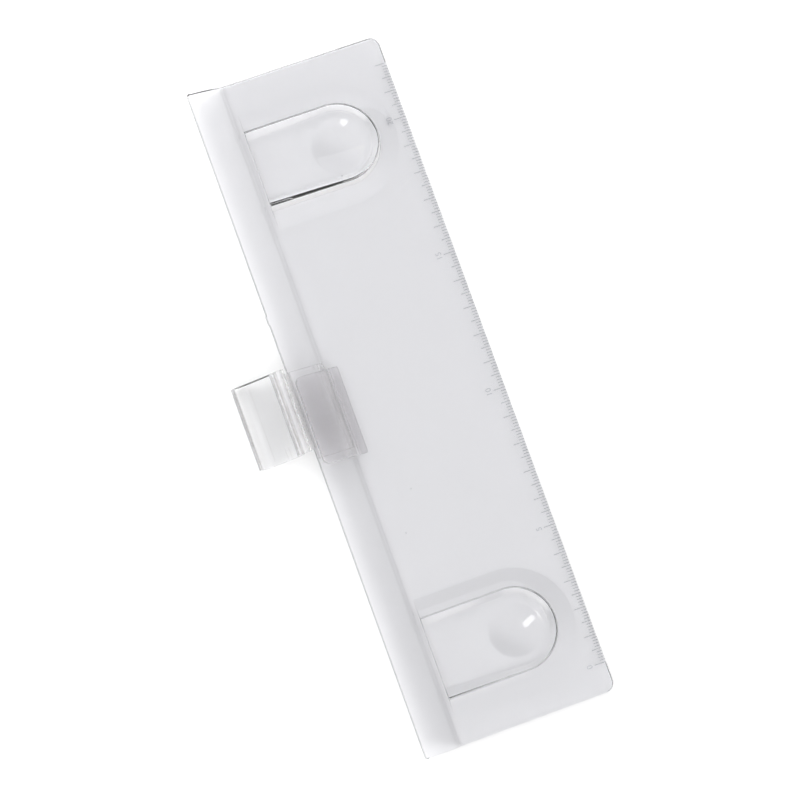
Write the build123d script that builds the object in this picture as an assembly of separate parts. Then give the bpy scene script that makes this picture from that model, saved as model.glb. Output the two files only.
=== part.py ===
"""Clear moulded copy holder for the side of a monitor.

A flat sheet with a ruler edge carries two spring tongues that pinch the paper. Their rims turn up to
take it in, and a ridge in the sheet faces each rim. The sheet's left margin is bent up into a crowned
flange. A hook over the flange holds a hinge leaf, and a bracket snapped on the leaf's bead carries the
adhesive pad. Millimetres; X runs to the ruler edge, Y to the high end of the scale, Z up out of the
sheet; the origin is the middle of the sheet's underside.
"""
from build123d import *
import os
from math import asin, atan2, cos, degrees, hypot, radians, sin, tan

# Moulded sheet
sheet_length = 240.0
sheet_thickness = 2.0
ruler_margin = 4.7
corner_radius = 3.3

# Crowned flange along the left margin
flange_width = 13.0
flange_root_angle = radians(36.0)
flange_edge_angle = radians(14.0)
fold_radius = 1.5

# Spring tongues
tongue_length = 43.4
tongue_width = 28.4
tongue_thickness = 1.5
tongue_lift = 0.6
upper_tongue_from_end = 32.2
lower_tongue_from_end = 30.7
tongue_from_fold = 2.0
slot_width = 0.5

# Turned-up rim round each tongue, and the ridge in the sheet that faces it
rim_width = 3.2
rim_rise = 1.3
rim_thickness = 1.4
ridge_width = 6.4
ridge_height = 0.9

# Thumb dimples in the tongues
dimple_diameter = 19.0
dimple_depth = 1.05
dimple_from_tip = 13.9

# Ruler edge
scale_length = 220
edge_bevel = 0.7
tick_width = 0.25
tick_height = 0.15
tick_length = 1.9
half_tick_length = 3.2
whole_tick_length = 4.2

# Hook bonded over the flange
hook_length = 31.2
hook_thickness = 1.6
hook_setback = 1.4
hook_foot_reach = 4.7
hook_foot_gap = 0.1
hook_round = 1.2

# Hinge leaf under the hook
leaf_length = 31.0
leaf_thickness = 1.4
leaf_shift = 2.8
leaf_end_gap = 0.6
leaf_clearance = 0.12
bead_radius = 1.6
bead_length = 27.0
bead_shift = 4.6
neck_thickness = 1.1
hinge_reach = 4.15

# Mounting bracket on the bead
bracket_length = 29.3
bracket_shift = 5.0
socket_clearance = 0.05
socket_wall = 1.25
plate_reach = 13.15
lip_radius = 3.0
lip_angle = radians(116.0)
bracket_lift = radians(30.0)
bracket_drop = radians(60.0)
stop_margin = radians(4.0)

# Adhesive pad under the bracket's plate
pad_thickness = 0.8
pad_start = 4.6
pad_width = 8.5
pad_length = 26.0

# How far a cutting shape runs past the surface it cuts
cut_over = 1.0

# The flat panel holds the tongue, its slot and ridge, and a margin for the ruler's marks
panel_width = tongue_from_fold + tongue_length + slot_width + ridge_width + ruler_margin

# Levels and edges that follow from the sheet
left_x = -(panel_width + flange_width) / 2
fold_x = left_x + flange_width
ruler_x = fold_x + panel_width
half_length = sheet_length / 2

# The fold: a small bend up out of the flat, then the crown that eases back towards level
bend_mid_radius = fold_radius + sheet_thickness / 2
bend_start_x = fold_x + bend_mid_radius * tan(flange_root_angle / 2)
bend_centre = (bend_start_x, sheet_thickness / 2 + bend_mid_radius)
crown_start_x = bend_centre[0] - bend_mid_radius * sin(flange_root_angle)
crown_start_z = bend_centre[1] - bend_mid_radius * cos(flange_root_angle)
crown_run = crown_start_x - sheet_thickness / 2 * sin(flange_edge_angle) - left_x
crown_radius = crown_run / (sin(flange_root_angle) - sin(flange_edge_angle))
crown_centre = (
    crown_start_x - crown_radius * sin(flange_root_angle),
    crown_start_z - crown_radius * cos(flange_root_angle),
)

# Shells stacked on the crown, measured as radii from its centre
flange_top = crown_radius + sheet_thickness / 2
flange_under = crown_radius - sheet_thickness / 2
leaf_under = flange_top + leaf_clearance
leaf_top = leaf_under + leaf_thickness
leaf_middle = (leaf_under + leaf_top) / 2
hook_under = leaf_top + leaf_clearance
hook_top = hook_under + hook_thickness

# Hinge axis, straight out from the leaf's edge
hinge_x = crown_centre[0] + leaf_middle * sin(flange_edge_angle) - hinge_reach * cos(flange_edge_angle)
hinge_z = crown_centre[1] + leaf_middle * cos(flange_edge_angle) + hinge_reach * sin(flange_edge_angle)
socket_inner = bead_radius + socket_clearance
socket_outer = socket_inner + socket_wall

# The bracket hangs until the pad's far edge meets the surface that the sheet lies on
pad_end = pad_start + pad_width
pad_under = socket_outer + pad_thickness
bracket_slope = asin(hinge_z / hypot(pad_end, pad_under)) - atan2(pad_under, pad_end)

# Spring tongue levels
upper_tongue_y = half_length - upper_tongue_from_end
lower_tongue_y = lower_tongue_from_end - half_length
root_x = fold_x + tongue_from_fold
tip_x = root_x + tongue_length
tip_centre_x = tip_x - tongue_width / 2
tongue_top = sheet_thickness + tongue_lift
tongue_under = tongue_top - tongue_thickness

# The rim rises outwards at one slope on both faces and ends square to that slope
rim_slope = atan2(rim_rise, rim_width)
rim_inset = rim_thickness * sin(rim_slope)
rim_high = tongue_top + rim_rise
rim_low = rim_high - rim_thickness * cos(rim_slope)
rim_run = (rim_low - tongue_under) / tan(rim_slope)


def at(x, z):
    """Point in the cross-section plane, at Y zero."""
    return Vector(x, 0, z)


def on_bend(radius, angle):
    """Point on the fold's bend, by radius and by how far the sheet has turned up."""
    return at(bend_centre[0] - radius * sin(angle), bend_centre[1] - radius * cos(angle))


def on_crown(radius, angle):
    """Point on a shell of the crown, by radius and by slope of the shell there."""
    return at(crown_centre[0] + radius * sin(angle), crown_centre[1] + radius * cos(angle))


def arc(place, radius, first, last):
    """Arc of a bend or crown shell between two slopes."""
    return ThreePointArc(place(radius, first), place(radius, (first + last) / 2), place(radius, last))


def prism(outline, length, middle_y=0.0):
    """Closed cross-section outline carried along Y, centred on middle_y."""
    return Pos(0, middle_y, 0) * extrude(make_face(outline), amount=length / 2, both=True)


def closed(points):
    """Straight edges that close a list of points."""
    return [Line(a, b) for a, b in zip(points, points[1:] + points[:1])]


def tongue_plan(grow, z, back=0.0):
    """Tongue outline at a level, square at the root, round at the tip, grown all round or at the root."""
    half = tongue_width / 2 + grow
    corners = [Vector(root_x - back, -half, z), Vector(tip_centre_x, -half, z)]
    corners += [Vector(tip_centre_x, half, z), Vector(root_x - back, half, z)]
    tip = ThreePointArc(corners[1], Vector(tip_centre_x + half, 0, z), corners[2])
    sides = [Line(corners[0], corners[1]), Line(corners[2], corners[3]), Line(corners[3], corners[0])]
    return make_face([sides[0], tip, *sides[1:]])


def sheet_outline():
    """Cross-section of the sheet: flat panel, bend and crowned flange of even thickness."""
    inner, outer = fold_radius, fold_radius + sheet_thickness
    return [
        Line(at(ruler_x, sheet_thickness), at(bend_start_x, sheet_thickness)),
        arc(on_bend, inner, 0, flange_root_angle),
        arc(on_crown, flange_top, flange_root_angle, flange_edge_angle),
        Line(on_crown(flange_top, flange_edge_angle), on_crown(flange_under, flange_edge_angle)),
        arc(on_crown, flange_under, flange_edge_angle, flange_root_angle),
        arc(on_bend, outer, flange_root_angle, 0),
        Line(at(bend_start_x, 0), at(ruler_x, 0)),
        Line(at(ruler_x, 0), at(ruler_x, sheet_thickness)),
    ]


def tongue_ridge(level):
    """Ridge that climbs from a level to the slot, filled in under the tongue."""
    foot = tongue_plan(slot_width + ridge_width, level)
    return loft([foot, tongue_plan(slot_width, level + ridge_height)], ruled=True)


def tongue_opening():
    """Slot outline carried through the sheet and its ridge."""
    depth = sheet_thickness + ridge_height + 2 * cut_over
    return extrude(tongue_plan(slot_width, -cut_over), amount=depth, dir=(0, 0, 1))


def make_panel():
    """The moulded sheet with its corners, two ridged tongue openings and the bevel of the ruler edge."""
    panel = prism(sheet_outline(), sheet_length)
    corners = panel.edges().filter_by(Axis.Z).sort_by(Axis.X)[-2:]
    panel = fillet(corners, corner_radius)
    for middle_y in (lower_tongue_y, upper_tongue_y):
        place = Pos(0, middle_y, 0)
        panel += place * tongue_ridge(sheet_thickness)
        panel -= place * tongue_opening()
        panel -= place * tongue_ridge(0)
    bevel = [
        at(ruler_x - edge_bevel, sheet_thickness),
        at(ruler_x, sheet_thickness - edge_bevel),
        at(ruler_x + cut_over, sheet_thickness - edge_bevel),
        at(ruler_x + cut_over, sheet_thickness + cut_over),
        at(ruler_x - edge_bevel, sheet_thickness + cut_over),
    ]
    return panel - prism(closed(bevel), scale_length)


def dimple_ball(level):
    """Ball that dents a face at a level, or bulges below it, by the dimple's depth."""
    base_radius = dimple_diameter / 2
    radius = (base_radius**2 + dimple_depth**2) / (2 * dimple_depth)
    return Pos(tip_x - dimple_from_tip, 0, level - dimple_depth + radius) * Sphere(radius)


def make_tongue(middle_y):
    """Spring tongue: plate just above the sheet, a rim turned up all round but the root, a thumb dimple."""
    skirt = loft([tongue_plan(-rim_run, tongue_under), tongue_plan(0, rim_low)], ruled=True)
    lip = loft([tongue_plan(0, rim_low), tongue_plan(-rim_inset, rim_high)], ruled=True)
    over = cut_over / tan(rim_slope)
    floor = tongue_plan(-rim_inset - rim_width, tongue_top, cut_over)
    dish = loft([floor, tongue_plan(over - rim_inset, rim_high + cut_over, cut_over)], ruled=True)
    bulge = dimple_ball(tongue_under) & Pos(0, 0, tongue_under - tongue_thickness) * extrude(
        tongue_plan(0, 0), amount=tongue_thickness, dir=(0, 0, 1)
    )
    return Pos(0, middle_y, 0) * (skirt + lip - dish + bulge - dimple_ball(tongue_top))


def make_graduations():
    """Raised millimetre marks along the ruler edge, longer at each five and ten."""
    marks = []
    for mark in range(scale_length + 1):
        reach = tick_length
        if mark % 5 == 0:
            reach = half_tick_length
        if mark % 10 == 0:
            reach = whole_tick_length
        length = reach - edge_bevel
        x = ruler_x - edge_bevel - length / 2
        y = mark - scale_length / 2
        marks.append(Pos(x, y, sheet_thickness + tick_height / 2) * Box(length, tick_width, tick_height))
    return Compound(children=marks)


def make_hook():
    """Hook over the flange: a foot on the flat beside the fold and a finger that follows the crown."""
    finger_middle = (hook_under + hook_top) / 2
    finger_angle = asin((left_x + hook_setback - crown_centre[0]) / finger_middle)
    inner_end = on_crown(hook_under, flange_root_angle)
    outer_end = on_crown(hook_top, flange_root_angle)
    foot_left = max(inner_end.X, bend_start_x) + hook_foot_gap
    foot_right = fold_x + hook_foot_reach
    shoulder_z = outer_end.Z - (foot_right - outer_end.X) * tan(flange_root_angle)
    outline = [
        arc(on_crown, hook_under, finger_angle, flange_root_angle),
        Line(inner_end, at(foot_left, sheet_thickness)),
        Line(at(foot_left, sheet_thickness), at(foot_right, sheet_thickness)),
        Line(at(foot_right, sheet_thickness), at(foot_right, shoulder_z)),
        Line(at(foot_right, shoulder_z), outer_end),
        arc(on_crown, hook_top, flange_root_angle, finger_angle),
        Line(on_crown(hook_top, finger_angle), on_crown(hook_under, finger_angle)),
    ]
    hook = prism(outline, hook_length)
    shoulder = hook.edges().filter_by(Axis.Y).sort_by_distance(at(foot_right, shoulder_z))[0]
    return fillet(shoulder, hook_round)


def make_leaf():
    """Hinge leaf: a plate that follows the crown under the hook, with a neck and a round bead."""
    inner_slope = flange_root_angle - leaf_end_gap / leaf_middle
    outline = [
        arc(on_crown, leaf_under, flange_edge_angle, inner_slope),
        Line(on_crown(leaf_under, inner_slope), on_crown(leaf_top, inner_slope)),
        arc(on_crown, leaf_top, inner_slope, flange_edge_angle),
        Line(on_crown(leaf_top, flange_edge_angle), on_crown(leaf_under, flange_edge_angle)),
    ]
    neck_end = on_crown(leaf_middle, flange_edge_angle)
    across = at(sin(flange_edge_angle), cos(flange_edge_angle)) * (neck_thickness / 2)
    into_plate = at(cos(flange_edge_angle), -sin(flange_edge_angle)) * (leaf_thickness / 2)
    axis = at(hinge_x, hinge_z)
    root = neck_end + into_plate
    sides = closed([axis - across, axis + across, root + across, root - across])
    bead = Pos(hinge_x, bead_shift, hinge_z) * Rot(90, 0, 0) * Cylinder(bead_radius, bead_length)
    return prism(outline, leaf_length, leaf_shift) + prism(sides, bead_length, bead_shift) + bead


def on_bracket(along, below):
    """Point of the bracket's cross-section, by distance out along its plate and below the hinge axis."""
    x = hinge_x - along * cos(bracket_slope) + below * sin(bracket_slope)
    z = hinge_z - along * sin(bracket_slope) - below * cos(bracket_slope)
    return at(x, z)


def on_lip(radius, angle):
    """Point on the lip's curl, by radius from its centre above the plate's end."""
    centre_below = socket_inner - lip_radius
    return on_bracket(plate_reach + radius * sin(angle), centre_below + radius * cos(angle))


def bracket_mouth():
    """Wedge that opens the socket for the neck over the hinge's whole travel, as a closed outline."""
    half_neck = asin(neck_thickness / 2 / socket_inner)
    upper = -flange_edge_angle + half_neck + bracket_lift + stop_margin
    lower = -flange_edge_angle - half_neck - bracket_drop - stop_margin
    reach = 3 * socket_outer
    corners = [at(hinge_x, hinge_z)]
    for share in (0, 1 / 3, 2 / 3, 1):
        turn = lower + share * (upper - lower)
        corners.append(at(hinge_x + reach * cos(turn), hinge_z + reach * sin(turn)))
    return closed(corners)


def make_bracket():
    """Snap socket, flat plate and up-curled lip, all one profile."""
    outline = [
        Line(on_bracket(0, socket_inner), on_bracket(plate_reach, socket_inner)),
        arc(on_lip, lip_radius, 0, lip_angle),
        Line(on_lip(lip_radius, lip_angle), on_lip(lip_radius + socket_wall, lip_angle)),
        arc(on_lip, lip_radius + socket_wall, lip_angle, 0),
        Line(on_bracket(plate_reach, socket_outer), on_bracket(0, socket_outer)),
        Line(on_bracket(0, socket_outer), on_bracket(0, socket_inner)),
    ]
    place = Pos(hinge_x, 0, hinge_z) * Rot(90, 0, 0)
    body = prism(outline, bracket_length) + place * Cylinder(socket_outer, bracket_length)
    body -= place * Cylinder(socket_inner, bracket_length + 2 * cut_over)
    body -= prism(bracket_mouth(), bracket_length + 2 * cut_over)
    return Pos(0, bracket_shift, 0) * body


def make_pad():
    """Clear double-sided adhesive pad on the underside of the bracket's plate."""
    corners = [
        on_bracket(pad_start, socket_outer),
        on_bracket(pad_end, socket_outer),
        on_bracket(pad_end, pad_under),
        on_bracket(pad_start, pad_under),
    ]
    return prism(closed(corners), pad_length, bracket_shift)


def write_parts():
    """Write one file for each piece and print the hinge places that the moving pieces turn about."""
    pieces = {
        "panel": make_panel(),
        "upper_tongue": make_tongue(upper_tongue_y),
        "lower_tongue": make_tongue(lower_tongue_y),
        "ruler_graduations": make_graduations(),
        "retaining_hook": make_hook(),
        "hinge_leaf": make_leaf(),
        "mount_bracket": make_bracket(),
        "adhesive_pad": make_pad(),
    }
    os.makedirs("parts", exist_ok=True)
    for name, piece in pieces.items():
        export_step(piece, f"parts/{name}.step")
    print("hinge axis", round(hinge_x, 3), round(hinge_z, 3))
    print("bracket slope", round(degrees(bracket_slope), 3))
    print("tongue roots", round(root_x, 3), tongue_top, "at Y", upper_tongue_y, lower_tongue_y)
    pad_middle = on_bracket((pad_start + pad_end) / 2, pad_under)
    print("pad face", round(pad_middle.X, 3), bracket_shift, round(pad_middle.Z, 3))


write_parts()
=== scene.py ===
"""Looks of a clear moulded copy holder for the side of a monitor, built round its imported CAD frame.

Sizes are millimetres in the CAD's own frame: X runs to the ruler edge, Y to the high end of the scale
and Z up out of the sheet. Meshes are turned to metres as they are made.
"""
import logging
from dataclasses import dataclass, field
from enum import Enum
from math import asin, atan2, cos, hypot, radians, sin, tan
from typing import Any

import bmesh
import bpy
import numpy as np
from mathutils import Matrix
from mathutils.geometry import delaunay_2d_cdt


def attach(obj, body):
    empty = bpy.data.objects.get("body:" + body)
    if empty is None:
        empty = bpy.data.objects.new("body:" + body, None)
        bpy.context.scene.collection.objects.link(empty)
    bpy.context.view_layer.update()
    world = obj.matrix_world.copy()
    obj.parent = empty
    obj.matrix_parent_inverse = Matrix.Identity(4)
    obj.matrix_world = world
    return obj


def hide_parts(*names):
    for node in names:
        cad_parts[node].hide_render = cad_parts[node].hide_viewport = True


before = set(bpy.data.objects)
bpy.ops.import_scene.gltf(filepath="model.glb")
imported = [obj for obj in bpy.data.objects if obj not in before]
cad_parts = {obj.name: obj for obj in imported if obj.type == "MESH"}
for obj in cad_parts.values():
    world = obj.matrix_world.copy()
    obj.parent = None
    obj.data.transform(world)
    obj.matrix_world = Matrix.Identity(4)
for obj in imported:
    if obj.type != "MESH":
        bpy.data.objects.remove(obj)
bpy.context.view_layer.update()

LOG = logging.getLogger("copy_holder")
MM = 0.001
WELD = 0.0015 * MM
# Marks in a centimetre of the ruler
CENTIMETRE = 10
# Closer than this to a line counts as on it, and no smaller length or turn is divided by
SNAP = 1e-6
NO_LENGTH = 1e-12
LEAST_TURN = 1e-5
NEARLY = 0.9999
# Steps of a rounded edge, and of a corner in plan
ROUND_STEPS = 5
CORNER_STEPS = 8
# Least divisor of a mitre, where an outline almost turns back
LEAST_MITRE = 0.3
# How much further in than its edge round a flat end starts
END_DRAW = 0.05
# Triangles inside the outline only, for the Delaunay fill
FILL_INSIDE = 1


class Body(Enum):
    """CAD bodies that the pieces ride on."""

    PANEL = "panel"
    UPPER_TONGUE = "upper_tongue"
    LOWER_TONGUE = "lower_tongue"
    LEAF = "leaf"
    BRACKET = "bracket"


class Slot(Enum):
    """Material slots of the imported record."""

    SHEET = "clear_plastic"
    CLIP = "clear_clip"
    MARKS = "graduation"
    ADHESIVE = "clear_adhesive"


def linear(hex_colour: str) -> tuple[float, float, float, float]:
    """Turn an sRGB hex colour to linear RGBA.

    Args:
        hex_colour: Six hex digits with a leading hash.

    Returns:
        Linear red, green, blue and an alpha of one.
    """
    srgb = np.array([int(hex_colour[i : i + 2], 16) for i in (1, 3, 5)]) / 255
    rgb = np.where(srgb <= 0.04045, srgb / 12.92, ((srgb + 0.055) / 1.055) ** 2.4)
    return (*(float(c) for c in rgb), 1.0)


def unit(vector: tuple[float, float, float] | np.ndarray) -> np.ndarray:
    """Direction of a vector, at length one."""
    return np.array(vector) / np.linalg.norm(vector)


def between(ends: tuple[float, float], share: np.ndarray) -> np.ndarray:
    """Values that run straight from the first end to the second."""
    return ends[0] + (ends[1] - ends[0]) * share


def put(name: str, data: bpy.types.ID) -> bpy.types.Object:
    """Make an object of some data, at the origin, and link it to the scene.

    Args:
        name: Name of the object.
        data: Its mesh, curve, light or camera.

    Returns:
        The new object.
    """
    made = bpy.data.objects.new(name, data)
    bpy.context.scene.collection.objects.link(made)
    return made


def add(
    tree: bpy.types.NodeTree, kind: str, settings: dict[str, Any], inputs: dict[Any, Any]
) -> bpy.types.Node:
    """Add a node, set its properties, and set or link its inputs.

    Args:
        tree: Node tree that takes the node.
        kind: Node type name.
        settings: Properties of the node itself.
        inputs: Values or output sockets by input name or number.

    Returns:
        The new node.
    """
    node = tree.nodes.new(kind)
    for name, value in settings.items():
        setattr(node, name, value)
    for key, value in inputs.items():
        if isinstance(value, bpy.types.NodeSocket):
            tree.links.new(value, node.inputs[key])
        else:
            node.inputs[key].default_value = value
    return node


def rounded(corners: np.ndarray, radii: np.ndarray, steps: int = ROUND_STEPS) -> np.ndarray:
    """Round the corners of closed outlines with arcs tangent to both sides.

    The arc leaves the corner by radius * tan(turn / 2) on each side and turns evenly between them;
    a corner of radius zero stays one point.

    Args:
        corners: Outlines as (..., corner, 2).
        radii: Radius of each corner.
        steps: Arc steps at a rounded corner.

    Returns:
        Outlines as (..., point, 2).
    """
    back = np.roll(corners, 1, axis=-2) - corners
    ahead = np.roll(corners, -1, axis=-2) - corners
    back = back / np.linalg.norm(back, axis=-1, keepdims=True)
    ahead = ahead / np.linalg.norm(ahead, axis=-1, keepdims=True)
    turn = np.pi - np.arccos(np.clip((back * ahead).sum(-1), -1, 1))
    turn = np.maximum(turn, LEAST_TURN)
    reach = radii * np.tan(turn / 2)
    middle = back + ahead
    middle = middle / np.maximum(np.linalg.norm(middle, axis=-1, keepdims=True), NO_LENGTH)
    centre = corners + middle * (radii / np.cos(turn / 2))[..., None]
    first = corners + back * reach[..., None] - centre
    last = corners + ahead * reach[..., None] - centre
    share = np.linspace(0, 1, steps + 1)
    before = np.sin((1 - share) * turn[..., None]) / np.sin(turn)[..., None]
    after = np.sin(share * turn[..., None]) / np.sin(turn)[..., None]
    swept = before[..., None] * first[..., None, :] + after[..., None] * last[..., None, :]
    arcs = centre[..., None, :] + swept
    keep = (radii[:, None] > 0) | (np.arange(steps + 1) == 0)
    return arcs.reshape(*corners.shape[:-2], -1, 2)[..., keep.ravel(), :]


def rounded_open(corners: np.ndarray, radii: np.ndarray, steps: int = ROUND_STEPS) -> np.ndarray:
    """Round an open line's inner corners.

    Args:
        corners: Line as (corner, 2).
        radii: Radius of each corner; the two ends take none.
        steps: Arc steps at a rounded corner.

    Returns:
        Line as (point, 2).
    """
    inner = np.where(np.arange(len(radii)) % (len(radii) - 1) == 0, 0.0, radii)
    return rounded(corners, inner, steps)


def inset(outlines: np.ndarray, amount: np.ndarray) -> np.ndarray:
    """Draw closed outlines in by an amount, along the mitre of each point's two sides.

    The mitre is the sum of the two sides' outward normals over one plus their dot product. That divisor
    is held up where an outline almost turns back, so that no point shoots away.

    Args:
        outlines: Outlines as (row, point, 2).
        amount: Inset of each row.

    Returns:
        Outlines as (row, point, 2).
    """
    side = np.roll(outlines, -1, axis=1) - outlines
    area = (outlines[..., 0] * np.roll(outlines[..., 1], -1, 1)).sum(1)
    area = area - (outlines[..., 1] * np.roll(outlines[..., 0], -1, 1)).sum(1)
    normal = np.stack([side[..., 1], -side[..., 0]], -1)
    normal = normal / np.maximum(np.linalg.norm(normal, axis=-1, keepdims=True), NO_LENGTH)
    normal = normal * np.sign(area)[:, None, None]
    previous = np.roll(normal, 1, axis=1)
    divisor = np.maximum(1 + (normal * previous).sum(-1, keepdims=True), LEAST_MITRE)
    mitre = (normal + previous) / divisor
    return outlines - mitre * amount[:, None, None]


def end_rows(length: float, edge: float, corner: float = 0.0) -> tuple[np.ndarray, np.ndarray, np.ndarray]:
    """Lay out the rows of an extrusion whose two ends have a quarter-round edge.

    Args:
        length: Length of the extrusion.
        edge: Radius of the edge round.
        corner: Distance from each end that a plan corner reaches in.

    Returns:
        Place along the extrusion, inset of the outline there, and distance from the nearer end.
    """
    turn = np.linspace(0, np.pi / 2, ROUND_STEPS + 1)
    deep = np.concatenate([[0.0], edge * (1 - np.cos(turn))])
    drawn = np.concatenate([[edge + END_DRAW], edge * (1 - np.sin(turn))])
    if corner > edge:
        more = edge + (corner - edge) * np.linspace(0, 1, CORNER_STEPS + 1)[1:]
        deep = np.concatenate([deep, more])
        drawn = np.concatenate([drawn, np.zeros(CORNER_STEPS)])
    place = np.concatenate([deep - length / 2, (length / 2 - deep)[::-1]])
    return place, np.concatenate([drawn, drawn[::-1]]), np.concatenate([deep, deep[::-1]])


@dataclass
class Shell:
    """Patches of one closed surface, gathered in millimetres and welded into a mesh in metres."""

    points: list[np.ndarray] = field(default_factory=list)
    faces: list[list[int]] = field(default_factory=list)
    total: int = 0

    def patch(self, points: np.ndarray, faces: list[list[int]]) -> None:
        """Add points and the faces between them.

        Args:
            points: Points as (point, 3).
            faces: Point numbers of each face, from zero.
        """
        self.points.append(points)
        self.faces.extend([[corner + self.total for corner in face] for face in faces])
        self.total += len(points)

    def grid(self, points: np.ndarray, ring: bool = False) -> None:
        """Add a grid of four-sided faces.

        Args:
            points: Points as (row, column, 3).
            ring: Whether the last column joins the first.
        """
        number = np.arange(points.shape[0] * points.shape[1]).reshape(points.shape[:2])
        if ring:
            number = np.concatenate([number, number[:, :1]], axis=1)
        corners = [number[:-1, :-1], number[1:, :-1], number[1:, 1:], number[:-1, 1:]]
        self.patch(points.reshape(-1, 3), np.stack(corners, -1).reshape(-1, 4).tolist())

    def face(self, points: np.ndarray) -> None:
        """Add one flat face of many corners."""
        self.patch(points, [list(range(len(points)))])

    def extrusion(self, outlines: np.ndarray, along: np.ndarray) -> None:
        """Carry cross-section outlines along Y and close both ends.

        Args:
            outlines: Outlines in X and Z as (row, point, 2).
            along: Y of each row.
        """
        y = np.broadcast_to(along[:, None], outlines.shape[:2])
        rows = np.stack([outlines[..., 0], y, outlines[..., 1]], -1)
        self.grid(rows, ring=True)
        self.face(rows[0])
        self.face(rows[-1])

    def bar(self, outline: np.ndarray, length: float, edge: float, shift: float) -> None:
        """Carry one outline along Y, with the edges of its two ends rounded.

        Args:
            outline: Outline in X and Z as (point, 2).
            length: Length of the bar.
            edge: Radius of the edge round.
            shift: Y of the bar's middle.
        """
        along, drawn, _ = end_rows(length, edge)
        rows = inset(np.broadcast_to(outline, (len(along), *outline.shape)), drawn)
        self.extrusion(rows, along + shift)

    def piece(self, name: str, material: bpy.types.Material, sharp: float = 50.0) -> bpy.types.Object:
        """Weld the patches, turn the faces outwards and make the object.

        Args:
            name: Name of the object and its mesh.
            material: Finish of the piece.
            sharp: Edges that turn by more degrees than this are shaded as creases.

        Returns:
            The new object, at the origin.
        """
        mesh = bpy.data.meshes.new(name)
        mesh.from_pydata((np.concatenate(self.points) * MM).tolist(), [], self.faces)
        work = bmesh.new()
        work.from_mesh(mesh)
        bmesh.ops.remove_doubles(work, verts=work.verts, dist=WELD)
        bmesh.ops.dissolve_degenerate(work, dist=WELD, edges=work.edges)
        bmesh.ops.recalc_face_normals(work, faces=work.faces)
        work.to_mesh(mesh)
        work.free()
        mesh.shade_smooth()
        mesh.set_sharp_from_angle(angle=radians(sharp))
        mesh.materials.append(material)
        return put(name, mesh)


def settle(piece: bpy.types.Object, body: Body, slot: Slot, *nodes: str) -> bpy.types.Object:
    """Seat a piece on its body, in place of its CAD nodes, and log it.

    Args:
        piece: Finished piece.
        body: Body that it rides on.
        slot: Material slot of the imported record; not used.
        nodes: CAD nodes that it stands for.

    Returns:
        The piece.
    """
    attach(piece, body.value)
    if nodes:
        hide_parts(*nodes)
    LOG.info("%s: %d faces on %s", piece.name, len(piece.data.polygons), body.value)
    return piece


def start(name: str) -> tuple[bpy.types.Material, bpy.types.NodeTree, bpy.types.NodeSocket]:
    """Start a material with an empty node tree.

    Args:
        name: Name of the real material.

    Returns:
        The material, its tree, and the socket that gives a point's place on the object.
    """
    material = bpy.data.materials.new(name)
    material.use_nodes = True
    tree = material.node_tree
    tree.nodes.clear()
    return material, tree, add(tree, "ShaderNodeTexCoord", {}, {}).outputs["Object"]


def surface(tree: bpy.types.NodeTree, inputs: dict[str, Any]) -> None:
    """Close a material with one surface shader."""
    shader = add(tree, "ShaderNodeBsdfPrincipled", {}, inputs)
    add(tree, "ShaderNodeOutputMaterial", {}, {"Surface": shader.outputs[0]})


def maths(tree: bpy.types.NodeTree, operation: str, *values: Any) -> bpy.types.NodeSocket:
    """Combine sockets or numbers in one maths node."""
    return add(tree, "ShaderNodeMath", {"operation": operation}, dict(enumerate(values))).outputs[0]


def facing(tree: bpy.types.NodeTree, ray: bpy.types.NodeSocket, aim: np.ndarray) -> bpy.types.NodeSocket:
    """Dot product of a ray with a fixed direction."""
    ends = {0: ray, 1: aim.tolist()}
    return add(tree, "ShaderNodeVectorMath", {"operation": "DOT_PRODUCT"}, ends).outputs["Value"]


def noise(
    tree: bpy.types.NodeTree, place: bpy.types.NodeSocket, size: float, detail: float
) -> bpy.types.NodeSocket:
    """Noise with features of a size in millimetres."""
    inputs = {"Vector": place, "Scale": 1 / (size * MM), "Detail": detail}
    return add(tree, "ShaderNodeTexNoise", {}, inputs).outputs[0]


def cells(
    tree: bpy.types.NodeTree, place: bpy.types.NodeSocket, size: float, feature: str = "F1"
) -> bpy.types.Node:
    """Random cells of a size in millimetres."""
    inputs = {"Vector": place, "Scale": 1 / (size * MM)}
    return add(tree, "ShaderNodeTexVoronoi", {"feature": feature}, inputs)


def bump(tree: bpy.types.NodeTree, height: bpy.types.NodeSocket, size: float) -> bpy.types.NodeSocket:
    """Surface normal over a relief of a size in millimetres."""
    return add(tree, "ShaderNodeBump", {}, {"Height": height, "Distance": size * MM}).outputs[0]


def blend(
    tree: bpy.types.NodeTree, share: bpy.types.NodeSocket, first: str, second: str
) -> bpy.types.NodeSocket:
    """Mix two hex colours by a share."""
    # By place, because the node's number, vector and colour sockets share their names
    ends = {0: share, 6: linear(first), 7: linear(second)}
    return add(tree, "ShaderNodeMix", {"data_type": "RGBA"}, ends).outputs[2]


def ramp(
    tree: bpy.types.NodeTree,
    value: bpy.types.NodeSocket,
    reach: tuple[float, float],
    ends: tuple[float, float] = (0.0, 1.0),
    eased: bool = False,
) -> bpy.types.NodeSocket:
    """Carry a value from one range to another, held at both ends.

    Args:
        tree: Node tree that takes the node.
        value: Socket of the value.
        reach: Range that the value runs through.
        ends: What it becomes at the two ends of that range.
        eased: Whether it eases in and out, or runs straight.

    Returns:
        Socket of the result.
    """
    kind = "SMOOTHSTEP" if eased else "LINEAR"
    numbers = {0: value, 1: reach[0], 2: reach[1], 3: ends[0], 4: ends[1]}
    return add(tree, "ShaderNodeMapRange", {"interpolation_type": kind}, numbers).outputs[0]


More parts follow.
